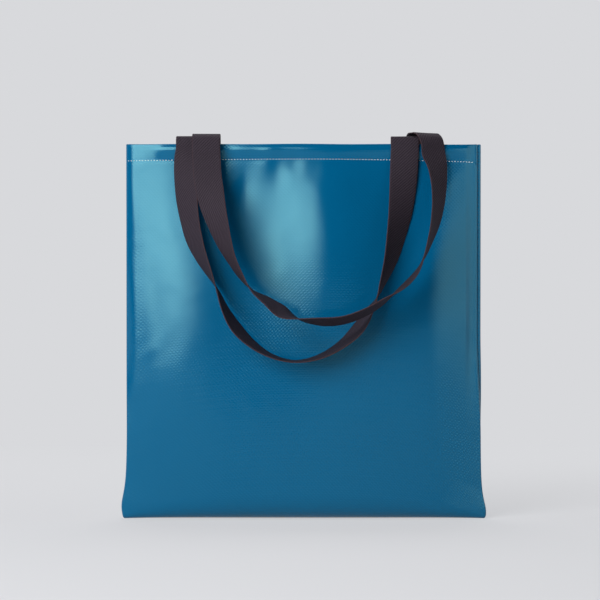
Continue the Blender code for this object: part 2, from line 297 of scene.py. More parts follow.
def finishPiece(piece, node):
    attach(piece, "root")
    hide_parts(node)


tarpaulin = {
    "colour": "00567F",
    "deepColour": "005179",
    "shineColour": "A2F0EE",
    "roughness": 0.09,
    "warpPitch": 1.95 * mm,
    "weftPitch": 1.85 * mm,
    "scrimHeight": 0.023 * mm,
    "ribShare": 0.3,             # height of the fine weft ribs, against the crossings of the threads
    "ribPace": 1.45,             # half waves of those ribs to each weft thread
    "smoothRelief": 0.65,        # share of the scrim's height that shows beside the left seam
    "looseRelief": 1.55,
    "smoothUpTo": -150 * mm,     # places across the cloth
    "looseFrom": -80 * mm,
    "rippleScale": 45.0,
    "rippleHeight": 0.08 * mm,
    "creaseScale": 20.0,
    "creaseWander": 0.6,
    "creaseHeight": 0.45 * mm,
    "toneScale": 9.0,
    "rubbed": 0.02,              # how much the roughness varies
    "ior": 1.55,
}


def makeTarpaulin():
    # Calendered PVC-coated polyester tarpaulin: a glossy film that shows its scrim's threads in highlights
    material, tree, shader = newMaterial("calenderedTarpaulin")
    place = addNode(tree, "ShaderNodeUVMap", {"uv_map": "clothMap"})
    axes = addNode(tree, "ShaderNodeSeparateXYZ", links={0: place.outputs[0]})
    # The real scrim has a thread each 1.3 mm, drawn coarser so that it shows
    across = addNode(tree, "ShaderNodeMath", {"operation": "MULTIPLY", 1: math.pi / tarpaulin["warpPitch"]},
                     {0: axes.outputs[0]})
    along = addNode(tree, "ShaderNodeMath", {"operation": "MULTIPLY", 1: math.pi / tarpaulin["weftPitch"]},
                    {0: axes.outputs[1]})
    warp = addNode(tree, "ShaderNodeMath", {"operation": "SINE"}, {0: across.outputs[0]})
    weft = addNode(tree, "ShaderNodeMath", {"operation": "SINE"}, {0: along.outputs[0]})
    crossing = addNode(tree, "ShaderNodeMath", {"operation": "MULTIPLY"},
                       {0: warp.outputs[0], 1: weft.outputs[0]})
    finer = addNode(tree, "ShaderNodeMath", {"operation": "MULTIPLY", 1: tarpaulin["ribPace"]},
                    {0: along.outputs[0]})
    ribs = addNode(tree, "ShaderNodeMath", {"operation": "SINE"}, {0: finer.outputs[0]})
    threads = addNode(tree, "ShaderNodeMath", {"operation": "MULTIPLY_ADD", 1: tarpaulin["ribShare"]},
                      {0: ribs.outputs[0], 2: crossing.outputs[0]})
    # The cloth is pulled smooth beside the left seam and hangs looser in the middle
    pull = addNode(tree, "ShaderNodeMapRange",
                   {1: tarpaulin["smoothUpTo"], 2: tarpaulin["looseFrom"],
                    3: tarpaulin["smoothRelief"], 4: tarpaulin["looseRelief"]}, {0: axes.outputs[0]})
    relief = addNode(tree, "ShaderNodeMath", {"operation": "MULTIPLY"},
                     {0: threads.outputs[0], 1: pull.outputs[0]})
    scrim = addNode(tree, "ShaderNodeBump", {"Strength": 1.0, "Distance": tarpaulin["scrimHeight"]},
                    {"Height": relief.outputs[0]})
    # The film is not quite even
    ripple = addNode(tree, "ShaderNodeTexNoise", {"Scale": tarpaulin["rippleScale"], "Detail": 2.0},
                     {"Vector": place.outputs[0]})
    film = addNode(tree, "ShaderNodeBump", {"Strength": 1.0, "Distance": tarpaulin["rippleHeight"]},
                   {"Height": ripple.outputs[0], "Normal": scrim.outputs[0]})
    # Faint creases from folding and carrying
    folds = addNode(tree, "ShaderNodeTexNoise",
                    {"noise_type": "RIDGED_MULTIFRACTAL", "Scale": tarpaulin["creaseScale"], "Detail": 2.0,
                     "Distortion": tarpaulin["creaseWander"]}, {"Vector": place.outputs[0]})
    creases = addNode(tree, "ShaderNodeBump", {"Strength": 1.0, "Distance": tarpaulin["creaseHeight"]},
                      {"Height": folds.outputs[0], "Normal": film.outputs[0]})
    # Slow changes of tone and gloss over the sheet
    tone = addNode(tree, "ShaderNodeTexNoise", {"Scale": tarpaulin["toneScale"], "Detail": 3.0},
                   {"Vector": place.outputs[0]})
    colour = addNode(tree, "ShaderNodeMix",
                     {"data_type": "RGBA", 6: hexColour(tarpaulin["deepColour"]),
                      7: hexColour(tarpaulin["colour"])}, {0: tone.outputs[0]})
    rub = addNode(tree, "ShaderNodeMapRange",
                  {3: tarpaulin["roughness"] - tarpaulin["rubbed"],
                   4: tarpaulin["roughness"] + tarpaulin["rubbed"]}, {0: tone.outputs[0]})
    tree.links.new(colour.outputs[2], shader.inputs["Base Color"])
    tree.links.new(rub.outputs[0], shader.inputs["Roughness"])
    tree.links.new(creases.outputs[0], shader.inputs["Normal"])
    shader.inputs["Specular Tint"].default_value = hexColour(tarpaulin["shineColour"])
    shader.inputs["IOR"].default_value = tarpaulin["ior"]
    return material


bagGrid = {
    "panelColumns": 112,
    "crowding": 0.88,            # towards 1, the columns stand closer together near the seams
    "foldSteps": 7,
    "allowanceSteps": 2,
    "hemRows": 8,
    "rimSteps": 8,
    "hemOuterRows": 14,
    "hemOuterDrop": 26 * mm,     # rows are finer down to here
    "panelRows": 96,
    "baseArcSteps": 12,
    "baseFlatSteps": 3,
}


def sheetColumns():
    # Kind, place and side of each column, from one raw edge to the other
    allowanceSteps, foldSteps = bagGrid["allowanceSteps"], bagGrid["foldSteps"]
    allowance = [("allowance", bag["allowance"] * i / allowanceSteps) for i in range(allowanceSteps, 0, -1)]
    fold = [("fold", math.pi * i / foldSteps) for i in range(foldSteps, 0, -1)]
    half = allowance + fold
    widest = math.pi / 2 * bagGrid["crowding"]
    shares = np.sin(np.linspace(-widest, widest, bagGrid["panelColumns"] + 1)) / math.sin(widest)
    return ([(kind, value, -1) for kind, value in half] + [("panel", share, 1) for share in shares]
            + [(kind, value, 1) for kind, value in reversed(half)])


def columnPoints(column, z, side, inset=0.0):
    # Places across and depths of one column at the heights z
    kind, value, hand = column
    z = np.asarray(z, dtype=float)
    if kind == "panel":
        x = value * edgeAt(np.full_like(z, value), z)
        step = 0.2 * mm
        depth = panelDepth(x, z, side)
        slope = (panelDepth(x + step, z, side) - panelDepth(x - step, z, side)) / (2 * step)
        if abs(value) > 0.9999:
            # Beyond the edge the panel is level, so the two depths give half its slope
            slope = slope * 2
        length = np.hypot(1.0, slope)
        return x + inset * slope / length, depth - inset / length
    edge = edgeAt(np.full_like(z, float(hand)), z)
    if kind == "fold":
        radius = bag["foldRadius"] - inset
        centre = bag["layerGap"] / 2 + bag["foldRadius"]
        return hand * (edge + radius * math.sin(value)), centre + radius * math.cos(value) + 0 * z
    return hand * (edge - value), bag["layerGap"] / 2 + inset + 0 * z


def floorOf(column):
    # Height of the column's lowest point
    kind, value = column[:2]
    if kind == "fold":
        return bag["foldRadius"] * (1 - math.cos(value))
    if kind == "allowance":
        return 2 * bag["foldRadius"]
    return bag["baseLift"] * (1 - abs(value) ** bag["liftPower"])


def rimLift(x, z):
    # The rim is not quite straight, and the hem is a little deeper than its stitches' height
    wave = hem["rimWave"] * np.sin(x / mm / hem["rimWaveLength"] + hem["rimWaveStart"])
    uneven = hem["rimLift"] - hem["rimSlant"] * x / bag["seamHalfWidth"] + wave
    return uneven * mm * ease((z - bag["height"] + bag["stitchDrop"]) / (hem["rimLiftOver"] * mm))


def stitchHeight(x):
    # The row runs up and down with the hand of whoever sewed it
    share = x / bag["seamHalfWidth"]
    sag = hem["stitchSag"] * share ** 2 + hem["stitchSagRight"] * np.clip(share, 0, 1) ** 2
    return bag["height"] - bag["stitchDrop"] + (hem["stitchLift"] - sag) * mm


def halfSheet(column, side):
    # Points down one panel, from the hem's raw edge to the middle of the base
    g = bagGrid
    rimCentre = bag["height"] - bag["rimRadius"]
    z = np.linspace(bag["height"] - bag["hemDepth"], rimCentre, g["hemRows"] + 1)[:-1]
    innerInset = bag["hemInset"]
    if column[0] == "panel":
        fade = 1 - abs(column[1]) ** bag["fadePower"]
        innerInset = innerInset + hemRoll(column[1] * bag["seamHalfWidth"], z) * fade
    x, depth = columnPoints(column, z, side, innerInset)
    rows = [np.stack([x, depth, z], 1)]
    angle = np.linspace(math.pi, 0, g["rimSteps"] + 1)
    inset = bag["rimRadius"] * (1 - np.cos(angle))
    x, depth = columnPoints(column, np.full_like(angle, rimCentre), side, inset)
    rows.append(np.stack([x, depth, rimCentre + bag["rimRadius"] * np.sin(angle)], 1))
    floor = floorOf(column)
    start = np.array([bag["baseRound"]])
    middle = float(panelDepth(np.array([0.0]), start, side)[0])
    share = float(columnPoints(column, start, side)[1][0]) / middle
    radius = bag["baseRound"] * max(share, bag["leastRound"])
    lowest = floor + radius
    outer = np.linspace(rimCentre, rimCentre - g["hemOuterDrop"], g["hemOuterRows"] + 1)[1:]
    below = np.linspace(outer[-1], lowest, g["panelRows"] + 1)[1:-1]
    z = np.concatenate([outer, below])
    x, depth = columnPoints(column, z, side)
    rows.append(np.stack([x, depth, z], 1))
    x, depth = columnPoints(column, np.array([lowest]), side)
    angle = np.linspace(0, math.pi / 2, g["baseArcSteps"] + 1)
    flat = bag["baseFlat"] / middle
    reach = flat + (1 - flat) * np.cos(angle)
    z = floor + radius * (1 - np.sin(angle) ** bag["roundPower"])
    x = columnPoints(column, z, side)[0]
    rows.append(np.stack([x, depth * reach, z], 1))
    reach = flat * (1 - np.arange(1, g["baseFlatSteps"] + 1) / g["baseFlatSteps"])
    rows.append(np.stack([np.full_like(reach, x[-1]), depth * reach, np.full_like(reach, floor)], 1))
    points = np.concatenate(rows)
    points[:, 2] += rimLift(points[:, 0], points[:, 2])
    return points


def makeBag(material):
    grid = []
    for column in sheetColumns():
        front = halfSheet(column, -1)
        back = halfSheet(column, 1)
        back = back[::-1][1:]
        front[:, 1] *= -1
        line = np.concatenate([front, back])
        line[:, 0], line[:, 1] = turnSide(line[:, 0], line[:, 1], line[:, 2])
        grid.append(line)
    grid = np.array(grid)
    columns, rows = grid.shape[:2]
    points = grid.reshape(-1, 3)
    index = np.arange(columns * rows).reshape(columns, rows)
    faces = np.stack([index[:-1, :-1], index[:-1, 1:], index[1:, 1:], index[1:, :-1]], -1).reshape(-1, 4)
    along = lengthAlong(grid[columns // 2])
    along = along - along[-1] / 2
    # The flat width is measured halfway up the back panel
    halfway = int(np.argmin(np.abs(along - along[-1] / 2)))
    across = lengthAlong(grid[:, halfway])
    across = across - across[-1] / 2
    flat = (across[-1] * 2, along[-1] * 2)
    uv = np.stack(np.broadcast_arrays(across[:, None], along[None, :]), -1).reshape(-1, 2)
    piece = makeMesh("tarpaulin_bag", points, faces, material, uv)
    thickness = piece.modifiers.new("thickness", "SOLIDIFY")
    thickness.thickness = bag["sheet"]
    thickness.offset = -1.0
    thickness.use_even_offset = True
    thickness.use_quality_normals = True
    print("bag:", columns, "x", rows, "points; flat sheet", round(flat[0], 4), "x", round(flat[1], 4))
    return piece, flat


tarpaulinCloth = makeTarpaulin()
bagPiece, bagFlat = makeBag(tarpaulinCloth)
finishPiece(bagPiece, "bag_body")

webbing = {
    "width": 30 * mm,
    "thick": 1.3 * mm,
    "spacing": 228.6 * mm,       # between the middles of a handle's two ends
    "sewnLength": 20 * mm,
    "sewnGap": 0.5 * mm,         # between a sewn end and the hem
    "slopeReach": 12 * mm,       # the panel's slope at a sewn end is taken this far to each side
    "turnPower": 4,              # on its way over the rim the webbing turns late
    "step": 2.5 * mm,            # along the webbing, between rings of points
    "faceSteps": 12,
    "sharpFrom": 60.0,
    "colour": "372F38",
    # painted shade in the grooves between the ribs, mixed in where the ribs' height is low
    "grooveShadeColour": "1E181F",
    "edgeColour": "3A2B30",
    "ribStep": 3.25 * mm,        # along the webbing, so 2.3 mm across the ribs
    "ribHeight": 0.13 * mm,
    "fuzzScale": 900.0,
    # ribs' height below which the colour is all painted shade, and above which it is all the lit colour
    "fullShadeBelow": -1.0,
    "brightAbove": 1.6,
    "edgeFrom": 14.2 * mm,       # from the middle line
    "edgeFull": 14.9 * mm,
    "roughness": 0.75,
    "specular": 0.15,
}
# Front stretch, left end to right end: place across (-1 and 1 are the ends), share of the drop,
# stand-off from the panel in mm, turn of the webbing about its own length in degrees.
# Rise at each end: place across the mouth, height over the rim in mm, tip in degrees, share sideways.
frontHandle = {
    "middle": -6.6 * mm, "side": -1, "drop": 229 * mm,
    "route": (
        (-1.005, 0.012, 5.0, 2), (-1.023, 0.060, 7.0, 12), (-1.034, 0.138, 9.5, 25),
        (-1.030, 0.248, 11.5, 38), (-1.005, 0.340, 13.5, 46), (-0.960, 0.435, 15.0, 52),
        (-0.889, 0.523, 16.0, 64), (-0.814, 0.597, 17.0, 77), (-0.750, 0.662, 17.5, 90),
        (-0.664, 0.766, 18.0, 103), (-0.575, 0.840, 18.0, 110), (-0.410, 0.924, 18.0, 103),
        (-0.240, 0.975, 18.0, 95), (-0.025, 1.000, 18.0, 91), (0.188, 0.981, 18.0, 96),
        (0.383, 0.930, 18.0, 103), (0.583, 0.833, 18.0, 112), (0.652, 0.777, 18.0, 105),
        (0.722, 0.718, 18.0, 91), (0.785, 0.639, 17.5, 77), (0.867, 0.521, 16.0, 59),
        (0.912, 0.424, 14.0, 47), (0.957, 0.300, 11.0, 30), (0.980, 0.193, 8.0, 16),
        (0.993, 0.091, 6.0, 5), (1.000, 0.012, 5.0, 1),
    ),
    "leftRise": (
        (0.00, 1.0, 0, 0.00), (0.00, 5.5, 8, 0.00), (0.14, 8.4, 45, 0.14), (0.50, 9.6, 90, 0.50),
        (0.86, 8.4, 135, 0.86), (1.00, 5.5, 172, 1.00),
    ),
    "rightRise": (
        (0.00, 1.0, 0, 0.00), (0.00, 5.5, 8, 0.00), (0.14, 8.4, 45, 0.14), (0.50, 9.6, 90, 0.50),
        (0.86, 8.4, 135, 0.86), (1.00, 5.5, 172, 1.00),
    ),
}
backHandle = {
    "middle": 9.9 * mm, "side": 1, "drop": 186 * mm,
    "route": (
        (-0.997, 0.012, 9.5, 0), (-0.990, 0.085, 15.0, 1), (-0.979, 0.177, 21.5, 4),
        (-0.957, 0.257, 26.0, 10), (-0.935, 0.325, 29.0, 20), (-0.884, 0.435, 33.0, 39),
        (-0.818, 0.554, 36.0, 56), (-0.756, 0.642, 38.0, 69), (-0.652, 0.753, 41.0, 80),
        (-0.565, 0.820, 43.0, 91), (-0.418, 0.885, 45.0, 106), (-0.289, 0.944, 46.0, 114),
        (-0.151, 0.982, 46.0, 90), (0.038, 0.999, 47.0, 74), (0.277, 0.991, 48.0, 72),
        (0.488, 0.943, 49.0, 74), (0.650, 0.884, 49.0, 79), (0.806, 0.815, 47.0, 95),
        (0.928, 0.738, 45.0, 96), (1.027, 0.626, 41.0, 84), (1.079, 0.539, 38.0, 77),
        (1.129, 0.435, 34.0, 68), (1.156, 0.337, 30.0, 62), (1.164, 0.217, 24.0, 54),
        (1.150, 0.119, 18.0, 44), (1.119, 0.040, 12.5, 32),
    ),
    "leftRise": (
        (0.00, 1.0, 0, 0.00), (0.01, 5.0, 12, 0.01), (0.08, 9.0, 45, 0.08), (0.24, 11.6, 75, 0.24),
        (0.50, 12.1, 92, 0.50), (0.76, 11.6, 105, 0.76), (0.93, 8.8, 140, 0.93), (1.00, 4.0, 172, 1.00),
    ),
    "rightRise": (
        (0.00, 1.0, 0, 0.00), (0.01, 5.0, 12, 0.02), (0.08, 9.4, 45, 0.07), (0.24, 12.4, 75, 0.16),
        (0.50, 13.2, 92, 0.33), (0.76, 12.4, 108, 0.54), (0.93, 9.2, 140, 0.74), (1.00, 4.0, 168, 0.90),
    ),
}


def makeWebbingMaterial():
    # Twill-woven webbing: matt, with fine slanting ribs that catch the light and a firmer selvedge
    material, tree, shader = newMaterial("twillWebbing")
    place = addNode(tree, "ShaderNodeUVMap", {"uv_map": "clothMap"})
    axes = addNode(tree, "ShaderNodeSeparateXYZ", links={0: place.outputs[0]})
    # Ribs are 0.9 mm apart on the real one, drawn 2.3 mm apart so that they show
    slant = addNode(tree, "ShaderNodeMath", {"operation": "ADD"}, {0: axes.outputs[0], 1: axes.outputs[1]})
    phase = addNode(tree, "ShaderNodeMath", {"operation": "MULTIPLY", 1: 2 * math.pi / webbing["ribStep"]},
                    {0: slant.outputs[0]})
    rib = addNode(tree, "ShaderNodeMath", {"operation": "SINE"}, {0: phase.outputs[0]})
    fuzz = addNode(tree, "ShaderNodeTexNoise", {"Scale": webbing["fuzzScale"], "Detail": 3.0},
                   {"Vector": place.outputs[0]})
    height = addNode(tree, "ShaderNodeMath", {"operation": "ADD"}, {0: rib.outputs[0], 1: fuzz.outputs[0]})
    bump = addNode(tree, "ShaderNodeBump", {"Strength": 1.0, "Distance": webbing["ribHeight"]},
                   {"Height": height.outputs[0]})
    # Painted shade and highlight: the colour is darker in the grooves between the ribs and lighter on their
    # tops, following the ribs' height
    shade = addNode(tree, "ShaderNodeMapRange", {1: webbing["fullShadeBelow"], 2: webbing["brightAbove"]},
                    {0: height.outputs[0]})
    ribShading = addNode(tree, "ShaderNodeMix",
                   {"data_type": "RGBA", 6: hexColour(webbing["grooveShadeColour"]),
                    7: hexColour(webbing["colour"])}, {0: shade.outputs[0]})
    rim = addNode(tree, "ShaderNodeMath", {"operation": "ABSOLUTE"}, {0: axes.outputs[1]})
    selvedge = addNode(tree, "ShaderNodeMapRange", {1: webbing["edgeFrom"], 2: webbing["edgeFull"]},
                       {0: rim.outputs[0]})
    colour = addNode(tree, "ShaderNodeMix", {"data_type": "RGBA", 7: hexColour(webbing["edgeColour"])},
                     {0: selvedge.outputs[0], 6: ribShading.outputs[2]})
    tree.links.new(colour.outputs[2], shader.inputs["Base Color"])
    tree.links.new(bump.outputs[0], shader.inputs["Normal"])
    shader.inputs["Roughness"].default_value = webbing["roughness"]
    shader.inputs["Specular IOR Level"].default_value = webbing["specular"]
    return material


def smoothRoute(stations, step):
    # A smooth curve through the stations, read at even steps
    table = np.array(stations, dtype=float)
    along = lengthAlong(table[:, :3])
    tangents = np.gradient(table, along, axis=0)
    count = max(2, round(along[-1] / step))
    result = []
    for place in np.linspace(0.0, along[-1], count + 1):
        i = min(len(along) - 2, int(np.searchsorted(along, place, side="right")) - 1)
        span = along[i + 1] - along[i]
        t = (place - along[i]) / span
        result.append((1 + 2 * t) * (1 - t) ** 2 * table[i] + t * t * (3 - 2 * t) * table[i + 1]
                      + t * (1 - t) ** 2 * span * tangents[i] + t * t * (t - 1) * span * tangents[i + 1])
    return np.array(result)


def legPlace(middleX, side):
    # Depth of a sewn end, and how far it is turned to lie along the hem
    reach = webbing["slopeReach"]
    across = np.array([middleX - reach, middleX, middleX + reach])
    waves = wavesAt(across, np.full(3, bag["height"] - webbing["sewnLength"] / 2), side)
    inside = (plainDepth(middleX, bag["height"]) + float(waves[1]) - bag["hemInset"] - webbing["sewnGap"]
              - webbing["thick"] / 2)
    slope = plainSlope(middleX, bag["height"]) + float(waves[2] - waves[0]) / (2 * reach)
    return side * inside, math.atan(slope) * side


def handleEnd(middleX, side, rise, front):
    # From the sewn end up and over the rim, to the first point of the front stretch
    legY, legYaw = legPlace(middleX, side)
    top = bag["height"]
    stations = [(middleX, legY, top - webbing["sewnLength"], 0.0, 0.0, legYaw),
                (middleX, legY, top - webbing["sewnLength"] / 2, 0.0, 0.0, legYaw)]
    for across, height, tip, sideways in rise:
        turn = front[4] * across ** webbing["turnPower"]
        stations.append((middleX + (front[0] - middleX) * sideways, legY + (front[1] - legY) * across,
                         top + height * mm, math.radians(tip), turn, legYaw * (1 - across)))
    return stations


def handleStations(handle):
    front = []
    half = webbing["spacing"] / 2
    for across, down, standOff, turn in handle["route"]:
        x = handle["middle"] + half * across
        z = bag["height"] - handle["drop"] * down
        y = -plainDepth(x, z) - standOff * mm
        front.append((x, y, z, math.pi, math.radians(turn), 0.0))
    left = handleEnd(handle["middle"] - half, handle["side"], handle["leftRise"], front[0])
    right = handleEnd(handle["middle"] + half, handle["side"], handle["rightRise"], front[-1])
    return left + front + right[::-1]


def bandSection():
    # Outline of the webbing, flat with rounded edges: place across, place through, place for the weave
    half = webbing["width"] / 2
    thin = webbing["thick"] / 2
    outline = []
    for face in (1, -1):
        for share in np.linspace(-1, 1, webbing["faceSteps"] + 1):
            outline.append((face * share * (half - thin), face * thin, face * share * (half - thin)))
        for angle in (40, 90, 140):
            a = math.radians(angle)
            outline.append((face * (half - thin + thin * math.sin(a)), face * thin * math.cos(a),
                            face * half))
    return outline


def makeHandle(name, handle, material):
    samples = smoothRoute(handleStations(handle), webbing["step"])
    places = samples[:, :3]
    section = bandSection()
    tangents = np.gradient(places, axis=0)
    travelled = lengthAlong(places)
    rings, uv = [], []
    for i, sample in enumerate(samples):
        along = Vector(tangents[i]).normalized()
        tip, turn, yaw = sample[3:6]
        upper = Vector((-math.sin(yaw) * math.cos(tip), math.cos(yaw) * math.cos(tip), math.sin(tip)))
        inward = along.cross(-upper).normalized()
        outward = along.cross(inward)
        width = math.cos(turn) * inward + math.sin(turn) * outward
        through = along.cross(width).normalized()
        for across, deep, weave in section:
            rings.append(Vector(places[i]) + width * across + through * deep)
            uv.append((travelled[i], weave))
    count = len(section)
    faces = []
    for i in range(len(samples) - 1):
        for k in range(count):
            following = (k + 1) % count
            faces.append((i * count + k, i * count + following,
                          (i + 1) * count + following, (i + 1) * count + k))
    last = (len(samples) - 1) * count
    faces.append(tuple(reversed(range(count))))
    faces.append(tuple(last + k for k in range(count)))
    piece = makeMesh(name, rings, faces, material, uv)
    piece.data.set_sharp_from_angle(angle=math.radians(webbing["sharpFrom"]))
    print(name, "length", round(float(travelled[-1]), 4))
    return piece, float(travelled[-1])


webbingCloth = makeWebbingMaterial()
frontBand, frontLength = makeHandle("front_webbing", frontHandle, webbingCloth)
backBand, backLength = makeHandle("back_webbing", backHandle, webbingCloth)
finishPiece(frontBand, "front_handle")
finishPiece(backBand, "back_handle")

sewing = {
    "threadRadius": 0.34 * mm,   # a little thicker than the real thread, so that it shows
    "threadSides": 6,
    "stitch": 3.2 * mm,
    "shown": 1.5 * mm,           # part of each stitch that lies on the cloth
    "hemSpan": 0.9995,           # share of the width over which the hem is sewn
    "hemStart": 1 * mm,
    "hemSamples": 1200,
    "seamEnd": 6 * mm,           # from the rim, and from the floor
    "seamProud": 0.3 * mm,
    "rightFacing": -0.6,         # stitches of the right seam face partly to the front
    "leftFacing": 0.2,
    "boxHalfWidth": 11 * mm,
    "boxHalfHeight": 6.5 * mm,
    "boxStitch": 2.6 * mm,
    "boxGap": 0.12,              # share of a box stitch that is hidden at each end
    "paleColour": "F2F6F6",
    "tealColour": "06344B",
    "blackColour": "1C1A1E",
    "twistScale": 1400.0,
    "twistHeight": 0.08 * mm,
    "twistStrength": 0.6,
    "shadedPly": 0.75,
    "roughness": 0.55,
}
# Line of one stitch: share of its length, and height over the cloth in radii of the thread
stitchArch = ((0.0, -1.2), (0.06, 0.1), (0.28, 0.75), (0.5, 0.9), (0.72, 0.75), (0.94, 0.1), (1.0, -1.2))


def makeThreadMaterial(name, colour):
    # Twisted polyester sewing thread: a soft shine with the twist of its plies across it
    material, tree, shader = newMaterial(name)
    place = addNode(tree, "ShaderNodeTexCoord")
    twist = addNode(tree, "ShaderNodeTexNoise", {"Scale": sewing["twistScale"], "Detail": 2.0},
                    {"Vector": place.outputs["Object"]})
    bump = addNode(tree, "ShaderNodeBump",
                   {"Strength": sewing["twistStrength"], "Distance": sewing["twistHeight"]},
                   {"Height": twist.outputs[0]})
    shaded = tuple(c * sewing["shadedPly"] for c in hexColour(colour)[:3]) + (1.0,)
    ply = addNode(tree, "ShaderNodeMix", {"data_type": "RGBA", 6: shaded, 7: hexColour(colour)},
                  {0: twist.outputs[0]})
    tree.links.new(ply.outputs[2], shader.inputs["Base Color"])
    tree.links.new(bump.outputs[0], shader.inputs["Normal"])
    shader.inputs["Roughness"].default_value = sewing["roughness"]
    return material


def stitchTubes(stitches):
    # Each stitch is a short thread that comes out of the cloth, lies on it and goes back in
    radius, sides = sewing["threadRadius"], sewing["threadSides"]
    points, faces = [], []
    for start, end, out in stitches:
        start, end, out = Vector(start), Vector(end), Vector(out).normalized()
        along = (end - start).normalized()
        sideways = along.cross(out).normalized()
        base = len(points)
        for share, height in stitchArch:
            centre = start.lerp(end, share) + out * radius * height
            for k in range(sides):
                angle = 2 * math.pi * k / sides
                points.append(centre + (sideways * math.cos(angle) + out * math.sin(angle)) * radius)
        for ring in range(len(stitchArch) - 1):
            for k in range(sides):
                a = base + ring * sides + k
                b = base + ring * sides + (k + 1) % sides
                faces.append((a, b, b + sides, a + sides))
        faces.append(tuple(base + k for k in reversed(range(sides))))
        faces.append(tuple(base + (len(stitchArch) - 1) * sides + k for k in range(sides)))
    return points, faces


def hemStitches(side):
    # Lies on the outer face, over the same curve as the panel
    fine = np.linspace(-sewing["hemSpan"], sewing["hemSpan"], sewing["hemSamples"])
    x = fine * edgeAt(fine, np.full_like(fine, bag["height"] - bag["stitchDrop"]))
    zs = stitchHeight(x)
    y = side * panelDepth(x, zs, side)
    heights = zs + rimLift(x, zs)
    turnedX, turnedY = turnSide(x, y, zs)
    line = np.stack([turnedX, turnedY, heights], 1)
    along = lengthAlong(line)
    stitches = []
    place = sewing["hemStart"]
    while place + sewing["shown"] < along[-1]:
        start, end = [np.array([np.interp(at, along, line[:, k]) for k in range(3)])
                      for at in (place, place + sewing["shown"])]
        direction = end - start
        out = np.array([direction[1], -direction[0], 0.0]) * (1 if side < 0 else -1)
        stitches.append((start, end, out))
        place += sewing["stitch"]
    return stitches


def seamStitches(side):
    # Lockstitch at the bottom of the groove between the two folds
    reach = bag["foldRadius"] + sewing["seamProud"]
    beyond = math.sqrt(reach ** 2 - (bag["layerGap"] / 2 + bag["foldRadius"]) ** 2)
    out = (side, sewing["rightFacing"] if side > 0 else sewing["leftFacing"], 0)
    stitches = []
    z = bag["height"] - sewing["seamEnd"]
    while z - sewing["shown"] > sewing["seamEnd"]:
        ends = []
        for height in (z, z - sewing["shown"]):
            x = side * (float(edgeAt(np.array(float(side)), np.array(height))) + beyond)
            turned = turnSide(np.array([x]), np.array([0.0]), np.array([height]))
            ends.append((float(turned[0][0]), float(turned[1][0]), height))
        stitches.append((ends[0], ends[1], out))
        z -= sewing["stitch"]
    return stitches


def tackStitches(middleX, side):
    # A box with a cross, through the webbing and the hem, seen inside on the webbing
    legY, yaw = legPlace(middleX, side)
    middleZ = bag["height"] - webbing["sewnLength"] / 2
    corners = np.array(((-1, -1), (1, -1), (1, 1), (-1, 1)))
    corners = corners * (sewing["boxHalfWidth"], sewing["boxHalfHeight"])
    lines = [(corners[i], corners[(i + 1) % 4]) for i in range(4)]
    lines += [(corners[0], corners[2]), (corners[1], corners[3])]
    stitches = []
    face = webbing["thick"] / 2
    out = (side * math.sin(yaw), -side * math.cos(yaw), 0)
    for start, end in lines:
        count = max(1, round(np.linalg.norm(end - start) / sewing["boxStitch"]))
        for i in range(count):
            ends = []
            for share in ((i + sewing["boxGap"]) / count, (i + 1 - sewing["boxGap"]) / count):
                across, up = start + (end - start) * share
                x = middleX + across * math.cos(yaw) + side * face * math.sin(yaw)
                y = legY + across * math.sin(yaw) - side * face * math.cos(yaw)
                ends.append((x, y, middleZ + up))
            stitches.append((ends[0], ends[1], out))
    return stitches


paleThread = makeThreadMaterial("paleSewingThread", sewing["paleColour"])
tealThread = makeThreadMaterial("tealSewingThread", sewing["tealColour"])
blackThread = makeThreadMaterial("blackSewingThread", sewing["blackColour"])


def makeStitching(name, stitches, material, node):
    points, faces = stitchTubes(stitches)
    piece = makeMesh(name, points, faces, material)
    finishPiece(piece, node)


makeStitching("front_hem_stitches", hemStitches(-1), paleThread, "front_hem_thread")
makeStitching("back_hem_stitches", hemStitches(1), paleThread, "back_hem_thread")
makeStitching("left_seam_stitches", seamStitches(-1), tealThread, "left_seam_thread")
makeStitching("right_seam_stitches", seamStitches(1), tealThread, "right_seam_thread")
for handleName, handle in (("front_handle", frontHandle), ("back_handle", backHandle)):
    for end, place in (("left", -1), ("right", 1)):
        middleX = handle["middle"] + place * webbing["spacing"] / 2
        makeStitching(f"{handleName}_{end}_box_stitches", tackStitches(middleX, handle["side"]),
                      blackThread, f"{handleName}_{end}_tack")
print("sewing done")

studio = {
    "floorColour": "B2B3B7",
    "floorRoughness": 0.9,
    "paperColour": "D8D9DC",     # of the backdrop, and of the walls that the camera sees
    "glowColour": "F3F4F7",      # what the floor shows in front, with its share
    "evenShare": 0.55,
    "behindOver": 1.0,           # metres behind the bag over which the floor is evened out
    "farFrom": 1.0,              # and metres away from it, in any direction
    "farTo": 2.2,
    "frontEnd": -3.2,
    "halfWidth": 6.0,
    "bendStart": 1.2,
    "bendRadius": 1.2,
    "bendSteps": 12,
    "backdropTop": 5.0,
    "airStrength": 0.03,
    "wallFrom": -0.45,           # walls begin in front of the bag's sides, as a direction along Y
    "wallFull": -0.2,
    "aim": (0.0, 0.0, 0.2),
}
# Azimuth, 0 in front of the bag and negative to the left, elevation, distance, size, watts, and how wide
# the soft edge is; angles in degrees, the rest in metres
lamps = {
    "keySoftbox": (-35.5, 19.7, 2.4, (2.3, 2.2), 134.0, 0.56),
    "overheadSoftbox": (180.0, 68.0, 2.6, (1.4, 1.4), 30.0, 0.0),
    "rightReflector": (51.0, 6.0, 3.0, (2.2, 1.4), 16.0, 0.0),
    "sideReflector": (86.0, 12.0, 2.5, (1.4, 1.4), 9.0, 0.4),
}


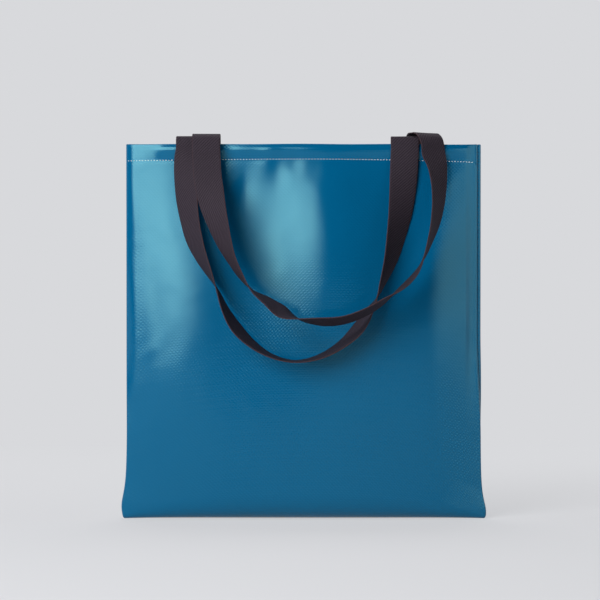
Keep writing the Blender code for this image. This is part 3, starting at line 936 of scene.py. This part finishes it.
def seenShare(tree, share):
    # Keeps a share of evened-out paper for what the camera, reflections and clear things show
    rays = addNode(tree, "ShaderNodeLightPath")
    seen = addNode(tree, "ShaderNodeMath", {"operation": "MAXIMUM"},
                   {0: rays.outputs["Is Camera Ray"], 1: rays.outputs["Is Glossy Ray"]})
    seen = addNode(tree, "ShaderNodeMath", {"operation": "MAXIMUM"},
                   {0: seen.outputs[0], 1: rays.outputs["Is Transmission Ray"]})
    kept = addNode(tree, "ShaderNodeMath", {"operation": "MULTIPLY"},
                   {0: share.outputs[0], 1: seen.outputs[0]})
    return kept.outputs[0]


def makePaper():
    # Seamless background paper: matt and even, it only takes the bag's soft shadow
    material, tree, shader = newMaterial("seamlessPaper")
    shader.inputs["Base Color"].default_value = hexColour(studio["floorColour"])
    shader.inputs["Roughness"].default_value = studio["floorRoughness"]
    shader.inputs["Specular IOR Level"].default_value = 0.0
    # What the camera and shiny surfaces see of it is evened out, fully so behind the bag and far from it
    place = addNode(tree, "ShaderNodeTexCoord")
    axes = addNode(tree, "ShaderNodeSeparateXYZ", links={0: place.outputs["Object"]})
    behind = addNode(tree, "ShaderNodeMapRange", {1: 0.0, 2: studio["behindOver"]}, {0: axes.outputs[1]})
    distance = addNode(tree, "ShaderNodeVectorMath", {"operation": "LENGTH"}, {0: place.outputs["Object"]})
    outside = addNode(tree, "ShaderNodeMapRange", {1: studio["farFrom"], 2: studio["farTo"]},
                      {0: distance.outputs["Value"]})
    away = addNode(tree, "ShaderNodeMath", {"operation": "MAXIMUM"},
                   {0: behind.outputs[0], 1: outside.outputs[0]})
    tint = addNode(tree, "ShaderNodeMix",
                   {"data_type": "RGBA", 6: hexColour(studio["glowColour"]),
                    7: hexColour(studio["paperColour"])}, {0: away.outputs[0]})
    glow = addNode(tree, "ShaderNodeEmission", {"Strength": 1.0}, {"Color": tint.outputs[2]})
    far = addNode(tree, "ShaderNodeMapRange", {3: studio["evenShare"], 4: 1.0}, {0: away.outputs[0]})
    mixed = addNode(tree, "ShaderNodeMixShader",
                    links={0: seenShare(tree, far), 1: shader.outputs[0], 2: glow.outputs[0]})
    tree.links.new(mixed.outputs[0], tree.nodes["Material Output"].inputs["Surface"])
    return material


def makeFloor():
    # The paper lies flat and sweeps up behind the bag
    start, radius = studio["bendStart"], studio["bendRadius"]
    profile = [(studio["frontEnd"], 0.0), (start, 0.0)]
    for step in range(1, studio["bendSteps"] + 1):
        angle = math.pi / 2 * step / studio["bendSteps"]
        profile.append((start + radius * math.sin(angle), radius - radius * math.cos(angle)))
    profile.append((start + radius, studio["backdropTop"]))
    points = [(x, y, z) for y, z in profile for x in (-studio["halfWidth"], studio["halfWidth"])]
    faces = [(2 * i, 2 * i + 1, 2 * i + 3, 2 * i + 2) for i in range(len(profile) - 1)]
    floor = makeMesh("floor", points, faces, makePaper())


def softenEdge(tree, size, softEdge):
    # A softbox that fades towards its edge
    place = addNode(tree, "ShaderNodeNewGeometry")
    axes = addNode(tree, "ShaderNodeSeparateXYZ", links={0: place.outputs["Parametric"]})
    parts = []
    for axis in (0, 1):
        fromMiddle = addNode(tree, "ShaderNodeMath", {"operation": "SUBTRACT", 1: 0.5},
                             {0: axes.outputs[axis]})
        away = addNode(tree, "ShaderNodeMath", {"operation": "ABSOLUTE"}, {0: fromMiddle.outputs[0]})
        parts.append(addNode(tree, "ShaderNodeMapRange",
                             {"interpolation_type": "SMOOTHSTEP", 1: 0.5, 2: 0.5 - softEdge / size[axis]},
                             {0: away.outputs[0]}))
    glow = addNode(tree, "ShaderNodeMath", {"operation": "MULTIPLY"},
                   {0: parts[0].outputs[0], 1: parts[1].outputs[0]})
    tree.links.new(glow.outputs[0], tree.nodes["Emission"].inputs["Strength"])


def makeLamp(name, azimuth, elevation, distance, size, watts, softEdge):
    data = bpy.data.lights.new(name, "AREA")
    data.shape = "RECTANGLE"
    data.size, data.size_y = size
    data.energy = watts
    if softEdge > 0:
        data.use_nodes = True
        softenEdge(data.node_tree, size, softEdge)
    lamp = bpy.data.objects.new(name, data)
    bpy.context.scene.collection.objects.link(lamp)
    around, up = math.radians(azimuth), math.radians(elevation)
    direction = Vector((math.sin(around) * math.cos(up), -math.cos(around) * math.cos(up), math.sin(up)))
    lamp.location = Vector(studio["aim"]) + direction * distance
    lamp.rotation_euler = direction.to_track_quat("Z", "Y").to_euler()


def makeAir():
    # A dim room, with pale walls behind and at both sides that the camera and shiny surfaces see
    world = bpy.context.scene.world or bpy.data.worlds.new("studioAir")
    bpy.context.scene.world = world
    world.use_nodes = True
    tree = world.node_tree
    dim = tree.nodes["Background"]
    dim.inputs["Color"].default_value = (1.0, 1.0, 1.0, 1.0)
    dim.inputs["Strength"].default_value = studio["airStrength"]
    walls = addNode(tree, "ShaderNodeBackground",
                    {"Color": hexColour(studio["paperColour"]), "Strength": 1.0})
    place = addNode(tree, "ShaderNodeTexCoord")
    axes = addNode(tree, "ShaderNodeSeparateXYZ", links={0: place.outputs["Generated"]})
    around = addNode(tree, "ShaderNodeMapRange", {1: studio["wallFrom"], 2: studio["wallFull"]},
                     {0: axes.outputs[1]})
    mixed = addNode(tree, "ShaderNodeMixShader",
                    links={0: seenShare(tree, around), 1: dim.outputs[0], 2: walls.outputs[0]})
    tree.links.new(mixed.outputs[0], tree.nodes["World Output"].inputs["Surface"])


def makeStudio():
    makeFloor()
    for name, setting in lamps.items():
        makeLamp(name, *setting)
    makeAir()
    bpy.context.scene.view_settings.view_transform = "Standard"


makeStudio()
print("studio lit")
